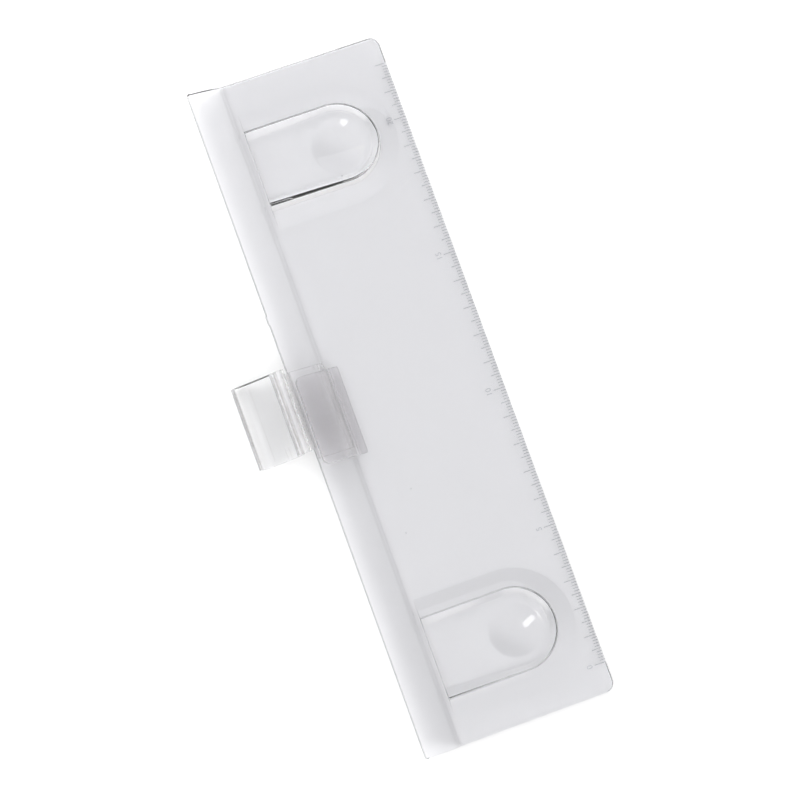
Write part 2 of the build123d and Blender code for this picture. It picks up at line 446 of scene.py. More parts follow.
@dataclass(frozen=True)
class ClearPlastic:
    """Clear polystyrene, injection moulded and polished.

    It gives the eye clean refraction with a faint cool grey that adds up where layers lie on each other,
    a sharp gloss, slow ripples from the mould's flow, and a few specks and hair scratches from handling.
    Where clear walls are stacked, a body below one takes off part of the cover, so that the stack stays
    light.
    """

    name: str
    tint: str
    speck: str = "#8E9598"
    ior: float = 1.58
    gloss: float = 0.015
    smudge: float = 0.05
    smudge_patch: float = 20.0
    smudge_range: tuple[float, float] = (0.45, 0.75)
    ripple: float = 16.0
    ripple_height: float = 0.02
    speck_spacing: float = 7.0
    speck_radius: float = 0.238
    speck_free: float = 0.62
    scratch_spacing: float = 26.0
    scratch_half: float = 0.0572
    scratch_patch: float = 9.0
    scratch_range: tuple[float, float] = (0.58, 0.62)
    scratch_rough: float = 0.25
    body: float = 1.0

    def make(self) -> bpy.types.Material:
        """Build the material.

        Returns:
            The new material.
        """
        material, tree, place = start(self.name)
        # Slow flow ripples, one wave in about sixteen millimetres
        flow = noise(tree, place, self.ripple, 1.0)
        # Dust and bubbles, specks of up to half a millimetre in some cells of seven millimetres
        dust = cells(tree, place, self.speck_spacing)
        chance = add(tree, "ShaderNodeSeparateColor", {}, {"Color": dust.outputs["Color"]}).outputs[0]
        size = ramp(tree, chance, (self.speck_free, 1.0), (0.0, self.speck_radius / self.speck_spacing))
        speck = maths(tree, "LESS_THAN", dust.outputs["Distance"], size)
        # Hair scratches, broken lines a tenth of a millimetre wide
        hairs = cells(tree, place, self.scratch_spacing, "DISTANCE_TO_EDGE").outputs["Distance"]
        fine = maths(tree, "LESS_THAN", hairs, self.scratch_half / self.scratch_spacing)
        broken = ramp(tree, noise(tree, place, self.scratch_patch, 0.0), self.scratch_range)
        scratch = maths(tree, "MULTIPLY", fine, broken)
        # Finger smudges, a little less gloss in patches of twenty millimetres
        hands = noise(tree, place, self.smudge_patch, 3.0)
        wear = ramp(tree, hands, self.smudge_range, (self.gloss, self.smudge))
        surface(
            tree,
            {
                "Base Color": blend(tree, speck, self.tint, self.speck),
                "Roughness": maths(tree, "MULTIPLY_ADD", scratch, self.scratch_rough, wear),
                "Normal": bump(tree, flow, self.ripple_height),
                "IOR": self.ior,
                "Transmission Weight": 1.0,
                "Alpha": self.body,
            },
        )
        return material


@dataclass(frozen=True)
class FrostedMarks:
    """Clear polystyrene, moulded from an etched cavity, as on raised ruler marks.

    The etched face scatters light, so the marks read as soft grey lines on the clear sheet.
    """

    name: str
    tint: str
    cloud: str
    grain: float = 0.4
    grain_height: float = 0.02
    rough: float = 0.45
    ior: float = 1.58
    clear: float = 0.3

    def make(self) -> bpy.types.Material:
        """Build the material.

        Returns:
            The new material.
        """
        material, tree, place = start(self.name)
        etch = noise(tree, place, self.grain, 2.0)
        surface(
            tree,
            {
                "Base Color": blend(tree, etch, self.tint, self.cloud),
                "Normal": bump(tree, etch, self.grain_height),
                "Roughness": self.rough,
                "IOR": self.ior,
                "Transmission Weight": self.clear,
            },
        )
        return material


@dataclass(frozen=True)
class AdhesiveGel:
    """Clear acrylic foam tape, cast and cut to size.

    It is a little cloudy, with fine bubbles and a dull face, and takes the colour of what is behind it.
    """

    name: str
    tint: str
    bubble: str
    bubble_size: float = 0.8
    bubble_wall: tuple[float, float] = (0.1, 0.5)
    bubble_height: float = 0.03
    rough: float = 0.08
    ior: float = 1.12
    body: float = 0.15

    def make(self) -> bpy.types.Material:
        """Build the material.

        Returns:
            The new material.
        """
        material, tree, place = start(self.name)
        foam = cells(tree, place, self.bubble_size).outputs["Distance"]
        bubble = ramp(tree, foam, self.bubble_wall, (1.0, 0.0))
        surface(
            tree,
            {
                "Base Color": blend(tree, bubble, self.tint, self.bubble),
                "Normal": bump(tree, foam, self.bubble_height),
                "Roughness": self.rough,
                "IOR": self.ior,
                "Transmission Weight": 1.0,
                "Alpha": self.body,
            },
        )
        return material


@dataclass(frozen=True)
class SheetForm:
    """Cross-section of the moulded sheet: flat panel, small bend up, and a crown that eases back to level."""

    length: float = 240.0
    thickness: float = 2.0
    left: float = -35.0
    fold: float = -22.0
    right: float = 35.0
    root_angle: float = radians(36.0)
    edge_angle: float = radians(14.0)
    bend_radius: float = 2.5

    @property
    def bend_start(self) -> float:
        """X where the flat ends and the bend begins."""
        return self.fold + self.bend_radius * tan(self.root_angle / 2)

    @property
    def bend_centre(self) -> np.ndarray:
        """X and Z of the bend's centre."""
        return np.array([self.bend_start, self.thickness / 2 + self.bend_radius])

    @property
    def crown_start(self) -> np.ndarray:
        """X and Z of the sheet's middle where the bend meets the crown."""
        turn = np.array([sin(self.root_angle), cos(self.root_angle)])
        return self.bend_centre - self.bend_radius * turn

    @property
    def crown_radius(self) -> float:
        """Radius of the crown at the sheet's middle."""
        run = self.crown_start[0] - self.thickness / 2 * sin(self.edge_angle) - self.left
        return float(run / (sin(self.root_angle) - sin(self.edge_angle)))

    @property
    def crown_centre(self) -> np.ndarray:
        """X and Z of the crown's centre."""
        turn = np.array([sin(self.root_angle), cos(self.root_angle)])
        return self.crown_start - self.crown_radius * turn

    @property
    def blank_left(self) -> float:
        """Left edge of the flat blank before it is bent, measured along the sheet's middle."""
        bend = self.bend_radius * self.root_angle
        return self.bend_start - bend - self.crown_radius * (self.root_angle - self.edge_angle)

    def on_crown(self, radius: float | np.ndarray, angle: float | np.ndarray) -> np.ndarray:
        """X and Z on a shell of the crown: its centre plus radius times the sine and cosine of the slope."""
        return self.crown_centre + np.stack([radius * np.sin(angle), radius * np.cos(angle)], -1)

    def place(self, blank: np.ndarray) -> np.ndarray:
        """Bend points of the flat blank into the sheet's shape.

        A point keeps its Y. Right of the bend it stays; on the bend it turns about the bend's centre by
        its distance past the start over the radius; further out it turns back about the crown's centre.

        Args:
            blank: Points as (..., 3): across the blank, along it, and up from its underside.

        Returns:
            Points as (..., 3) in X, Y and Z.
        """
        across, along, up = np.moveaxis(blank, -1, 0)
        lift = up - self.thickness / 2
        past = self.bend_start - across
        bend_turn = past / self.bend_radius
        bend_arm = self.bend_radius - lift
        bend_x = self.bend_centre[0] - bend_arm * np.sin(bend_turn)
        bend_z = self.bend_centre[1] - bend_arm * np.cos(bend_turn)
        crown_turn = self.root_angle - (past - self.bend_radius * self.root_angle) / self.crown_radius
        crown_arm = self.crown_radius + lift
        crown_x = self.crown_centre[0] + crown_arm * np.sin(crown_turn)
        crown_z = self.crown_centre[1] + crown_arm * np.cos(crown_turn)
        on_crown = past > self.bend_radius * self.root_angle
        x = np.where(past <= 0, across, np.where(on_crown, crown_x, bend_x))
        z = np.where(past <= 0, up, np.where(on_crown, crown_z, bend_z))
        return np.stack([x, along, z], -1)


@dataclass(frozen=True)
class TongueForm:
    """Outline of a spring tongue: square at its root, straight sides, half-round tip."""

    root: float = -20.0
    length: float = 43.4
    width: float = 28.4
    slot: float = 0.5

    @property
    def tip_centre(self) -> float:
        """X of the tip's centre."""
        return self.root + self.length - self.width / 2

    def path(self, straight: int, arc: int) -> tuple[np.ndarray, np.ndarray]:
        """Walk the outline from the root's low corner round the tip to its high corner.

        Args:
            straight: Steps on each straight side.
            arc: Steps round the tip.

        Returns:
            Points as (point, 2), and the outward direction at each.
        """
        half = self.width / 2
        run = np.linspace(self.root, self.tip_centre, straight + 1)[:-1]
        turn = np.linspace(-np.pi / 2, np.pi / 2, arc + 1)
        low = np.stack([run, np.full(straight, -half)], -1)
        tip = np.stack([self.tip_centre + half * np.cos(turn), half * np.sin(turn)], -1)
        high = (low * [1, -1])[::-1]
        down = np.broadcast_to([0.0, -1.0], low.shape)
        round_tip = np.stack([np.cos(turn), np.sin(turn)], -1)
        return np.concatenate([low, tip, high]), np.concatenate([down, round_tip, -down])


@dataclass
class Panel:
    """The moulded sheet: flat panel, crowned flange, ridged tongue openings and bevelled ruler edge."""

    form: SheetForm
    tongue: TongueForm
    corner: float = 3.3
    flange_corner: float = 0.8
    edge_chamfer: float = 0.16
    edge_round: float = 0.24
    edge_support: float = 0.45
    foot_chamfer: float = 0.27
    foot_round: float = 0.1
    foot_support: float = 0.6
    ruler_bevel: float = 0.7
    ruler_round: float = 0.14
    ruler_support: float = 0.95
    bevel_run: float = 0.3
    scale_half: float = 110.0
    openings: tuple[float, float] = (-89.3, 87.8)
    slot_narrowing: float = 0.1
    ridge_width: float = 6.4
    ridge_height: float = 0.9
    ridge_foot: float = 4.0
    ridge_margin: float = 1.2
    ridge_round: float = 0.28
    hollow_round: float = 0.2
    tip_steps: int = 72
    bend_steps: int = 8
    crown_steps: int = 15
    gate: float = 37.5
    gate_half: float = 1.7
    gate_stub: float = 0.32
    # Broken end of the gate's stub: shares of its half width and of its height
    gate_shape: tuple[tuple[float, float], ...] = (
        (1.0, 0.0), (0.93, 0.8), (0.5, 1.0), (0.1, 0.75), (-0.4, 1.0), (-0.93, 0.85), (-1.0, 0.0)
    )

    def outline(self) -> tuple[np.ndarray, np.ndarray, np.ndarray]:
        """Walk the blank's rounded outline anticlockwise from its low right corner.

        Returns:
            Points as (point, 2), outward directions, and how far each has the ruler's bevel, 0 to 1.
        """
        half = self.form.length / 2
        left = self.form.blank_left
        right = self.form.right
        inner = self.corner
        outer = self.flange_corner
        quarter = np.linspace(0, np.pi / 2, CORNER_STEPS + 1)

        def corner(x: float, y: float, radius: float, begin: float) -> tuple[np.ndarray, np.ndarray]:
            """Quarter circle at a corner, as points and outward directions."""
            turn = np.stack([np.cos(quarter + begin), np.sin(quarter + begin)], -1)
            return np.array([x, y]) + radius * turn, turn

        def side(
            x: float | np.ndarray, y: float | np.ndarray, outward: tuple[float, float]
        ) -> tuple[np.ndarray, np.ndarray]:
            """Points of a side, one of their coordinates fixed, and its outward direction at each."""
            points = np.stack(np.broadcast_arrays(x, y), -1)
            return points, np.broadcast_to(outward, points.shape)

        bend_turn = self.form.root_angle * np.linspace(0, 1, self.bend_steps + 1)
        bend = self.form.bend_start - self.form.bend_radius * bend_turn
        crown = np.linspace(bend[-1], left + outer, self.crown_steps + 1)[1:-1]
        across = np.concatenate([bend, crown])
        scale_end = self.scale_half + np.array([0.0, self.bevel_run])
        stub_along, stub_out = np.array(self.gate_shape).T
        walk = [
            corner(right - inner, inner - half, inner, -np.pi / 2),
            side(right, np.concatenate([-scale_end[::-1], scale_end]), (1.0, 0.0)),
            corner(right - inner, half - inner, inner, 0.0),
            side(across, half, (0.0, 1.0)),
            corner(left + outer, half - outer, outer, np.pi / 2),
            side(left - self.gate_stub * stub_out, self.gate + self.gate_half * stub_along, (-1.0, 0.0)),
            corner(left + outer, outer - half, outer, np.pi),
            side(across[::-1], -half, (0.0, -1.0)),
        ]
        points, outward = (np.concatenate(part) for part in zip(*walk))
        ruled = np.abs(points[:, 1]) < self.scale_half + self.bevel_run / 2
        bevel = (points[:, 0] > right - SNAP) & ruled
        return points, outward, bevel.astype(float)

    def edge(self, chamfer: float, turn: float, support: float) -> np.ndarray:
        """Cross-section of an outer edge: top face, chamfer, wall, foot chamfer and underside.

        Args:
            chamfer: Size of the top chamfer.
            turn: Radius where the chamfer meets the faces.
            support: How far in the top face starts.

        Returns:
            Line of inset and height as (point, 2).
        """
        top = self.form.thickness
        foot = self.foot_chamfer
        above = [[support, top], [chamfer, top], [0, top - chamfer]]
        below = [[0, foot], [foot, 0], [self.foot_support, 0]]
        radii = np.array([0, turn, turn, self.foot_round, self.foot_round, 0])
        return rounded_open(np.array(above + below), radii)

    def ridge(self) -> np.ndarray:
        """Cross-section of an opening: flat face, ridge up to the slot, slot wall and hollow underside.

        Returns:
            Line of distance out from the tongue and height as (point, 2).
        """
        top = self.form.thickness
        slot = self.tongue.slot - self.slot_narrowing
        foot = self.tongue.slot + self.ridge_width
        far = foot + self.ridge_margin
        rise = self.ridge_height
        above = [[far, top], [foot, top], [slot, top + rise], [slot, top]]
        below = [[slot, rise], [foot, 0], [far, 0]]
        radii = [0, self.ridge_foot, self.ridge_round, 0, self.hollow_round, self.ridge_foot, 0]
        return rounded_open(np.array(above + below), np.array(radii))

    def cap(
        self, rings: list[np.ndarray], lines: np.ndarray, up: float
    ) -> tuple[np.ndarray, list[list[int]]]:
        """Fill a face of the blank between its outline and the openings.

        Args:
            rings: Outline first, then one loop for each opening, as (point, 2).
            lines: Pairs of outline points joined by a fold line.
            up: Height of the face above the blank's underside.

        Returns:
            Bent points as (point, 3), and triangles.
        """
        flat = np.concatenate(rings)
        starts = np.cumsum([0] + [len(ring) for ring in rings])
        numbers = [np.arange(a, b) for a, b in zip(starts, starts[1:])]
        loops = [np.stack([number, np.roll(number, -1)], -1) for number in numbers]
        edges = np.concatenate([*loops, lines]).tolist()
        found = delaunay_2d_cdt(flat.tolist(), edges, [], FILL_INSIDE, SNAP)
        points = np.array(found[0])
        triangles = np.array(found[2])
        middle = points[triangles].mean(1)
        past = middle[:, 0] - self.tongue.tip_centre
        straight = (middle[:, 0] > self.tongue.root) & (past < 0)
        keep = np.ones(len(triangles), bool)
        for ring in rings[1:]:
            side = ring[:, 1].mean()
            reach = np.abs(ring[:, 1] - side).max()
            off = middle[:, 1] - side
            inside = straight & (np.abs(off) < reach)
            tip = (past >= 0) & (np.hypot(past, off) < reach * NEARLY)
            keep &= ~(inside | tip)
        blank = np.concatenate([points, np.full((len(points), 1), up)], -1)
        return self.form.place(blank), triangles[keep].tolist()

    def build(self, material: bpy.types.Material) -> bpy.types.Object:
        """Build the sheet.

        Args:
            material: Finish of the sheet.

        Returns:
            The finished piece.
        """
        shell = Shell()
        walk, outward, bevel = self.outline()
        plain = self.edge(self.edge_chamfer, self.edge_round, self.edge_support)
        ruled = self.edge(self.ruler_bevel, self.ruler_round, self.ruler_support)
        section = plain + bevel[:, None, None] * (ruled - plain)
        # The flange ends upright though the crown still slopes there, so its top runs out over its underside
        upright = np.clip(-outward[:, 0], 0, 1) * tan(self.form.edge_angle)
        section[..., 0] -= upright[:, None] * section[..., 1]
        flat = walk[:, None, :] - outward[:, None, :] * section[..., :1]
        blank = np.concatenate([flat, section[..., 1:]], -1)
        shell.grid(self.form.place(np.swapaxes(blank, 0, 1)), ring=True)
        # Fold lines run from each point of the high edge to its twin on the low edge
        high = np.flatnonzero(outward[:, 1] > NEARLY)[1:-1]
        low = np.flatnonzero(outward[:, 1] < -NEARLY)[1:-1]
        high = high[walk[high, 0] <= self.form.bend_start + SNAP]
        low = low[walk[low, 0] <= self.form.bend_start + SNAP]
        lines = np.stack([high, low[::-1]], -1)
        profile = self.ridge()
        edge_path, edge_out = self.tongue.path(1, self.tip_steps)
        tops = [blank[:, 0, :2]]
        unders = [blank[:, -1, :2]]
        top = self.form.thickness
        rise = int(np.flatnonzero(profile[:, 1] > top + SNAP)[0]) - 1
        wall = int(np.flatnonzero((profile[:, 1] < top + SNAP) & (profile[:, 0] < self.tongue.slot))[0])
        seat = int(np.flatnonzero(profile[:, 1] < SNAP)[0])
        for middle in self.openings:
            offset = np.array([0, middle])
            plan = edge_path[:, None, :] + edge_out[:, None, :] * profile[:, 0][None, :, None] + offset
            rows = np.concatenate([plan, np.broadcast_to(profile[:, 1:][None], (*plan.shape[:2], 1))], -1)
            shell.grid(rows)
            first, last = rows[0], rows[-1]
            # The ridge's two ends at the root, and the root wall across the opening
            shell.face(first[rise : wall + 1])
            shell.face(last[rise : wall + 1])
            shell.face(np.concatenate([first[wall : seat + 1], last[wall : seat + 1][::-1]]))
            tops.append(np.concatenate([rows[:, 0, :2], last[[rise, wall], :2], first[[wall, rise], :2]]))
            unders.append(np.concatenate([rows[:, -1, :2], last[[seat], :2], first[[seat], :2]]))
        shell.patch(*self.cap(tops, lines, top))
        shell.patch(*self.cap(unders, lines, 0.0))
        return settle(shell.piece("clear_panel", material), Body.PANEL, Slot.SHEET, "panel")


@dataclass
class Tongue:
    """Spring tongue: a plate just above the sheet, with a rim that turns up and a thumb dimple.

    Pairs of sizes hold at the root and at the tip. The rim is widest and highest at the root. The straight
    low side can be drawn in from the slot and have its wall undercut; elsewhere the wall is nearly upright.
    """

    form: TongueForm
    sheet: SheetForm
    body: Body
    middle: float
    thickness: float = 1.5
    lift: float = 0.6
    ramp: float = 24.0
    grow: float = 0.24
    low_gap: tuple[float, float] = (0.0, 0.0)
    rim_width: tuple[float, float] = (3.2, 2.2)
    rim_rise: tuple[float, float] = (1.4, 1.1)
    rim_foot: float = 2.2
    rim_support: float = 4.4
    lip: float = 0.22
    lip_drop: float = 0.1
    lip_round: float = 0.14
    edge_round: float = 0.1
    rim_steps: int = 6
    plain_cut: float = 0.12
    undercut: tuple[float, float] = (0.12, 0.12)
    undercut_from: float = 0.75
    dimple_diameter: float = 19.0
    dimple_depth: float = 1.05
    dimple_from_tip: float = 13.9
    dimple_soft: float = 0.07
    root_gap: float = 0.03
    step: float = 0.4

    def sections(self, share: np.ndarray, low_side: np.ndarray) -> np.ndarray:
        """Cross-sections of half the tongue, from its centre line out over the rim and back below.

        The underside is the top face moved straight down by the thickness.

        Args:
            share: How far towards the tip each section is, 0 to 1.
            low_side: How far each section is on the low side, 0 to 1.

        Returns:
            Lines of distance in from the outline and height as (section, point, 2).
        """
        width = between(self.rim_width, share)
        rise = between(self.rim_rise, share)
        low = np.clip((low_side - self.undercut_from) / (1 - self.undercut_from), 0, 1)
        cut = self.plain_cut + (between(self.undercut, share) - self.plain_cut) * low
        top = self.sheet.thickness + self.lift
        under = top - self.thickness
        half = self.form.width / 2
        foot = self.lip + width
        steep = rise / width
        edge = top + steep * foot - self.thickness
        none = np.zeros(len(share))
        support = none + self.rim_support
        drawn = [support, foot, none + self.lip, none, none, cut, foot, support]
        height = [none + top, none + top, top + rise, top + rise - self.lip_drop, edge + cut]
        height += [edge - steep * cut, none + under, none + under]
        corners = np.stack([np.stack(drawn, -1), np.stack(height, -1)], -1)
        radii = np.full(len(drawn), self.edge_round)
        radii[[0, -1]] = 0
        radii[[1, -2]] = self.rim_foot
        radii[2] = self.lip_round
        rim = rounded_open(corners, radii, self.rim_steps)
        steps = int((half - self.rim_support) / self.step)
        flat = np.linspace(half, self.rim_support, steps + 1)[:-1]
        face = np.stack([flat, np.full(steps, top)], -1)
        back = np.stack([flat, np.full(steps, under)], -1)[::-1]
        shape = (len(share), steps, 2)
        return np.concatenate([np.broadcast_to(face, shape), rim, np.broadcast_to(back, shape)], 1)

    def build(self, material: bpy.types.Material) -> bpy.types.Object:
        """Build the tongue.

        The dimple is a sphere cap eased into the plate: depth s below the plate at a radius, softened
        to half of s plus the root of s squared plus a small constant squared. Both faces take it, so
        the wall stays even. Near the root the plate eases down to the sheet's level. The outline's own
        shift, out by the growth and in by the low side's gap, fades to nothing at the centre line.

        Args:
            material: Finish of the tongue.

        Returns:
            The finished piece.
        """
        shell = Shell()
        half = self.form.width / 2
        straight = round((self.form.length - half) / self.step)
        path, outward = self.form.path(straight, round(np.pi * half / self.step))
        share = np.clip((path[:, 0] - self.form.root) / (self.form.tip_centre - self.form.root), 0, 1)
        low_side = np.clip(-outward[:, 1], 0, 1)
        section = self.sections(share, low_side)
        shift = low_side * between(self.low_gap, share) - self.grow
        depth = section[..., :1] + shift[:, None, None] * (1 - section[..., :1] / half)
        plan = path[:, None, :] - outward[:, None, :] * depth
        radius = (self.dimple_diameter**2 / 4 + self.dimple_depth**2) / (2 * self.dimple_depth)
        centre = self.form.root + self.form.length - self.dimple_from_tip
        away = np.minimum(np.hypot(plan[..., 0] - centre, plan[..., 1]), radius * NEARLY)
        sunk = np.sqrt(radius**2 - away**2) - (radius - self.dimple_depth)
        dent = (sunk + np.sqrt(sunk**2 + self.dimple_soft**2)) / 2
        near = np.clip((plan[..., 0] - self.form.root) / self.ramp, 0, 1)
        drop = self.lift * (1 - near**2 * (3 - 2 * near))
        x = np.maximum(plan[..., 0], self.form.root + self.root_gap)
        rows = np.stack([x, plan[..., 1] + self.middle, section[..., 1] - dent - drop], -1)
        shell.grid(rows)
        shell.face(np.concatenate([rows[0], rows[-1][::-1]]))
        name = f"{self.body.value}_spring"
        return settle(shell.piece(name, material), self.body, Slot.SHEET, self.body.value)


@dataclass
class Graduations:
    """Raised millimetre marks along the ruler edge, and the numbers beside them."""

    panel: Panel
    width: float = 0.24
    crest: float = 0.6
    height: float = 0.12
    seat: float = 0.01
    edge_gap: float = 0.06
    tilts: tuple[tuple[float, float], ...] = ((0.0, 1.0), (0.38, 0.92), (0.71, 0.71))
    lengths: tuple[float, float, float] = (1.9, 3.2, 4.2)
    crease: float = 30.0
    numbers: tuple[int, ...] = (0, 5, 10, 15, 20)
    number_height: float = 2.0
    number_inset: float = 5.9
    number_relief: float = 0.03
    number_lift: float = 0.04
    digit_share: float = 0.7

    def build(self, material: bpy.types.Material) -> bpy.types.Object:
        """Build the marks, one for each millimetre of the scale.

        Each is a low ridge of trapezoid section, carried from its inner end to the bevel and down it.

        Args:
            material: Finish of the marks.

        Returns:
            The finished piece.
        """
        right = self.panel.form.right
        sheet = self.panel.form.thickness
        bevel = self.panel.ruler_bevel
        mark = np.arange(round(2 * self.panel.scale_half) + 1)
        short, middle, long = self.lengths
        within = np.where(mark % (CENTIMETRE // 2) == 0, middle, short)
        reach = np.where(mark % CENTIMETRE == 0, long, within)
        x = right - np.stack([reach, np.full(len(mark), bevel), np.zeros(len(mark))], -1)
        base = np.array([sheet, sheet, sheet - bevel])
        # Square to the sheet at the inner end, half-way at the break and square to the bevel below it
        tilt = np.array(self.tilts)
        across = np.array([-1, -self.crest, self.crest, 1]) * self.width / 2
        up = np.array([self.seat, self.height, self.height, self.seat])
        points = np.empty((len(mark), len(base), len(up), 3))
        points[..., 0] = x[:, :, None] + tilt[None, :, :1] * up - self.edge_gap
        points[..., 1] = (mark - self.panel.scale_half)[:, None, None] + across
        points[..., 2] = base[None, :, None] + tilt[None, :, 1:] * up
        corner = np.arange(len(base) * len(up)).reshape(len(base), len(up))
        beside = np.roll(corner, -1, axis=1)
        sides = np.stack([corner[:-1], corner[1:], beside[1:], beside[:-1]], -1).reshape(-1, 4)
        pattern = np.concatenate([sides, corner[:1], corner[-1:, ::-1]])
        faces = (pattern[None] + corner.size * mark[:, None, None]).reshape(-1, 4)
        shell = Shell()
        shell.patch(points.reshape(-1, 3), faces.tolist())
        piece = shell.piece("ruler_marks", material, self.crease)
        return settle(piece, Body.PANEL, Slot.MARKS, "ruler_graduations")

    def number(self, value: int, material: bpy.types.Material) -> bpy.types.Object:
        """Set one number of the scale in low relief.

        Args:
            value: Centimetres on the scale.
            material: Finish of the number.

        Returns:
            The finished piece.
        """
        curve = bpy.data.curves.new(f"number_{value}", "FONT")
        curve.body = str(value)
        curve.size = self.number_height * MM / self.digit_share
        curve.extrude = self.number_relief * MM
        curve.align_x = "CENTER"
        curve.align_y = "CENTER"
        text = put(f"number_{value}_text", curve)
        bpy.context.view_layer.update()
        mesh = bpy.data.meshes.new_from_object(text.evaluated_get(bpy.context.evaluated_depsgraph_get()))
        bpy.data.objects.remove(text)
        x = self.panel.form.right - self.number_inset
        y = value * CENTIMETRE - self.panel.scale_half
        z = self.panel.form.thickness + self.number_lift
        place = Matrix.Translation([c * MM for c in (x, y, z)])
        mesh.transform(place @ Matrix.Rotation(radians(90), 4, "Z"))
        mesh.materials.clear()
        mesh.materials.append(material)
        return settle(put(f"number_{value}", mesh), Body.PANEL, Slot.MARKS)


@dataclass(frozen=True)
class ClipForm:
    """Shells stacked on the crowned flange, and the hinge that hangs from them."""

    sheet: SheetForm
    clearance: float = 0.12
    leaf_thickness: float = 1.4
    hook_thickness: float = 1.6
    hinge_reach: float = 4.15
    bead_radius: float = 1.6
    socket_clearance: float = 0.05
    socket_wall: float = 1.25

    @property
    def leaf_under(self) -> float:
        """Crown radius of the leaf's underside."""
        return self.sheet.crown_radius + self.sheet.thickness / 2 + self.clearance

    @property
    def leaf_top(self) -> float:
        """Crown radius of the leaf's top."""
        return self.leaf_under + self.leaf_thickness

    @property
    def hook_under(self) -> float:
        """Crown radius of the hook's underside."""
        return self.leaf_top + self.clearance

    @property
    def hook_top(self) -> float:
        """Crown radius of the hook's top."""
        return self.hook_under + self.hook_thickness

    @property
    def hinge(self) -> np.ndarray:
        """Place of the hinge axis, straight out from the leaf's edge.

        Returns:
            X and Z of the axis.
        """
        slope = self.sheet.edge_angle
        edge = self.sheet.on_crown((self.leaf_under + self.leaf_top) / 2, slope)
        return edge + self.hinge_reach * np.array([-cos(slope), sin(slope)])

    @property
    def socket_inner(self) -> float:
        """Inner radius of the bracket's socket."""
        return self.bead_radius + self.socket_clearance

    @property
    def socket_outer(self) -> float:
        """Outer radius of the bracket's socket, and the depth of its plate's underside."""
        return self.socket_inner + self.socket_wall


@dataclass
class Hook:
    """Finger over the flange, with its foot on the flat beside the fold."""

    form: ClipForm
    length: float = 31.2
    setback: float = 1.4
    foot_reach: float = 4.7
    foot_gap: float = 0.1
    seat_gap: float = 0.02
    foot_round: float = 0.42
    inner_round: float = 0.3
    shoulder: float = 0.7
    tip_round: float = 0.6
    plan_corner: float = 2.4
    lead_length: float = 2.6
    lead_depth: float = 0.5
    tip_share: float = 0.08
    steps: int = 22
    edge: float = 0.35

    def outlines(self, drawn_back: np.ndarray) -> np.ndarray:
        """Cross-sections of the hook, each with its finger drawn back by an amount.

        The finger follows the crown, and thins towards its tip over the lead's length. The foot's outer
        side stops where the finger's top, carried straight on from the root, comes down to it.

        Args:
            drawn_back: Distance along the crown for each row.

        Returns:
            Outlines as (row, point, 2).
        """
        sheet = self.form.sheet
        under, over = self.form.hook_under, self.form.hook_top
        middle = (under + over) / 2
        tip = asin((sheet.left + self.setback - sheet.crown_centre[0]) / middle) + drawn_back / middle
        # The first step leaves room for the tip's round
        share = np.concatenate([[0.0], np.linspace(self.tip_share, 1, self.steps)])
        turn = tip[:, None] + (sheet.root_angle - tip[:, None]) * share
        below = sheet.on_crown(under, turn)
        lead = np.clip(1 - (turn - tip[:, None]) * middle / self.lead_length, 0, 1)
        above = sheet.on_crown(over - self.lead_depth * lead, turn)[:, ::-1]
        inner, outer = below[0, -1], above[0, 0]
        foot_left = max(inner[0], sheet.bend_start) + self.foot_gap
        foot_right = sheet.fold + self.foot_reach
        seat = sheet.thickness + self.seat_gap
        shoulder = outer[1] - (foot_right - outer[0]) * tan(sheet.root_angle)
        foot = np.array([[foot_left, seat], [foot_right, seat], [foot_right, shoulder]])
        foot = np.broadcast_to(foot, (len(tip), *foot.shape))
        corners = np.concatenate([below, foot, above], axis=1)
        radii = np.zeros(corners.shape[1])
        radii[[0, -1]] = self.tip_round
        root = len(share) - 1
        radii[root : root + 4] = [self.inner_round, self.foot_round, self.foot_round, self.shoulder]
        return rounded(corners, radii)

    def build(self, material: bpy.types.Material) -> bpy.types.Object:
        """Build the hook.

        Args:
            material: Finish of the hook.

        Returns:
            The finished piece.
        """
        along, drawn, deep = end_rows(self.length, self.edge, self.plan_corner)
        short = np.maximum(self.plan_corner - deep, 0)
        back = self.plan_corner - np.sqrt(self.plan_corner**2 - short**2)
        shell = Shell()
        shell.extrusion(inset(self.outlines(back), drawn), along)
        return settle(shell.piece("flange_hook", material), Body.PANEL, Slot.CLIP, "retaining_hook")


